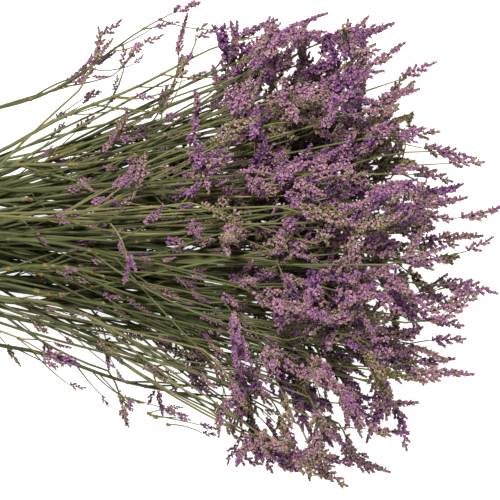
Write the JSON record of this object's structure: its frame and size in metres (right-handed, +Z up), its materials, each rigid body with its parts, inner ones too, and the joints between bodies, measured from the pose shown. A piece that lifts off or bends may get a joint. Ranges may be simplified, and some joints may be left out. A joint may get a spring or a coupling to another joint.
{
  "type": "bunch of dried statice",
  "caption": "Bunch of dried statice lying on its side: wiry branching sprigs with small mauve flower sprays, held near the cut ends by a rubber band.",
  "frame": {"origin": "on the surface that the bunch lies on, under the middle of its length and width", "axes": "+X from the cut ends towards the flowers, +Z up from the surface, +Y across the bunch"},
  "size_m": [0.6696, 0.372, 0.1894],
  "materials": {
    "stalk": "matte dried plant stem, olive green with brown nodes",
    "bloom": "matte papery dried flowers, violet and mauve with tan bracts",
    "band": "matte natural rubber band"
  },
  "bodies": {
    "root": {"sprig_01": "stalk", "sprig_02": "stalk", "sprig_03": "stalk", "sprig_04": "stalk", "sprig_05": "stalk", "sprig_06": "stalk", "sprig_07": "stalk", "sprig_08": "stalk", "sprig_09": "stalk", "sprig_10": "stalk", "sprig_11": "stalk", "sprig_12": "stalk", "sprig_13": "stalk", "sprig_14": "stalk", "sprig_15": "stalk", "sprig_16": "stalk", "sprig_17": "stalk", "sprig_18": "stalk", "sprig_19": "stalk", "sprig_20": "stalk", "sprig_21": "stalk", "sprig_22": "stalk", "sprig_23": "stalk", "sprig_24": "stalk", "sprig_25": "stalk", "sprig_26": "stalk", "sprig_27": "stalk", "sprig_28": "stalk", "sprig_29": "stalk", "sprig_30": "stalk", "sprig_31": "stalk", "sprig_32": "stalk", "sprig_33": "stalk", "sprig_34": "stalk", "sprig_35": "stalk", "sprig_36": "stalk", "sprig_37": "stalk", "sprig_38": "stalk", "sprig_39": "stalk", "sprig_40": "stalk", "sprig_41": "stalk", "sprig_42": "stalk", "sprig_43": "stalk", "sprig_44": "stalk", "sprig_45": "stalk", "sprig_46": "stalk", "rubber_band": "band"}
  },
  "joints": []
}
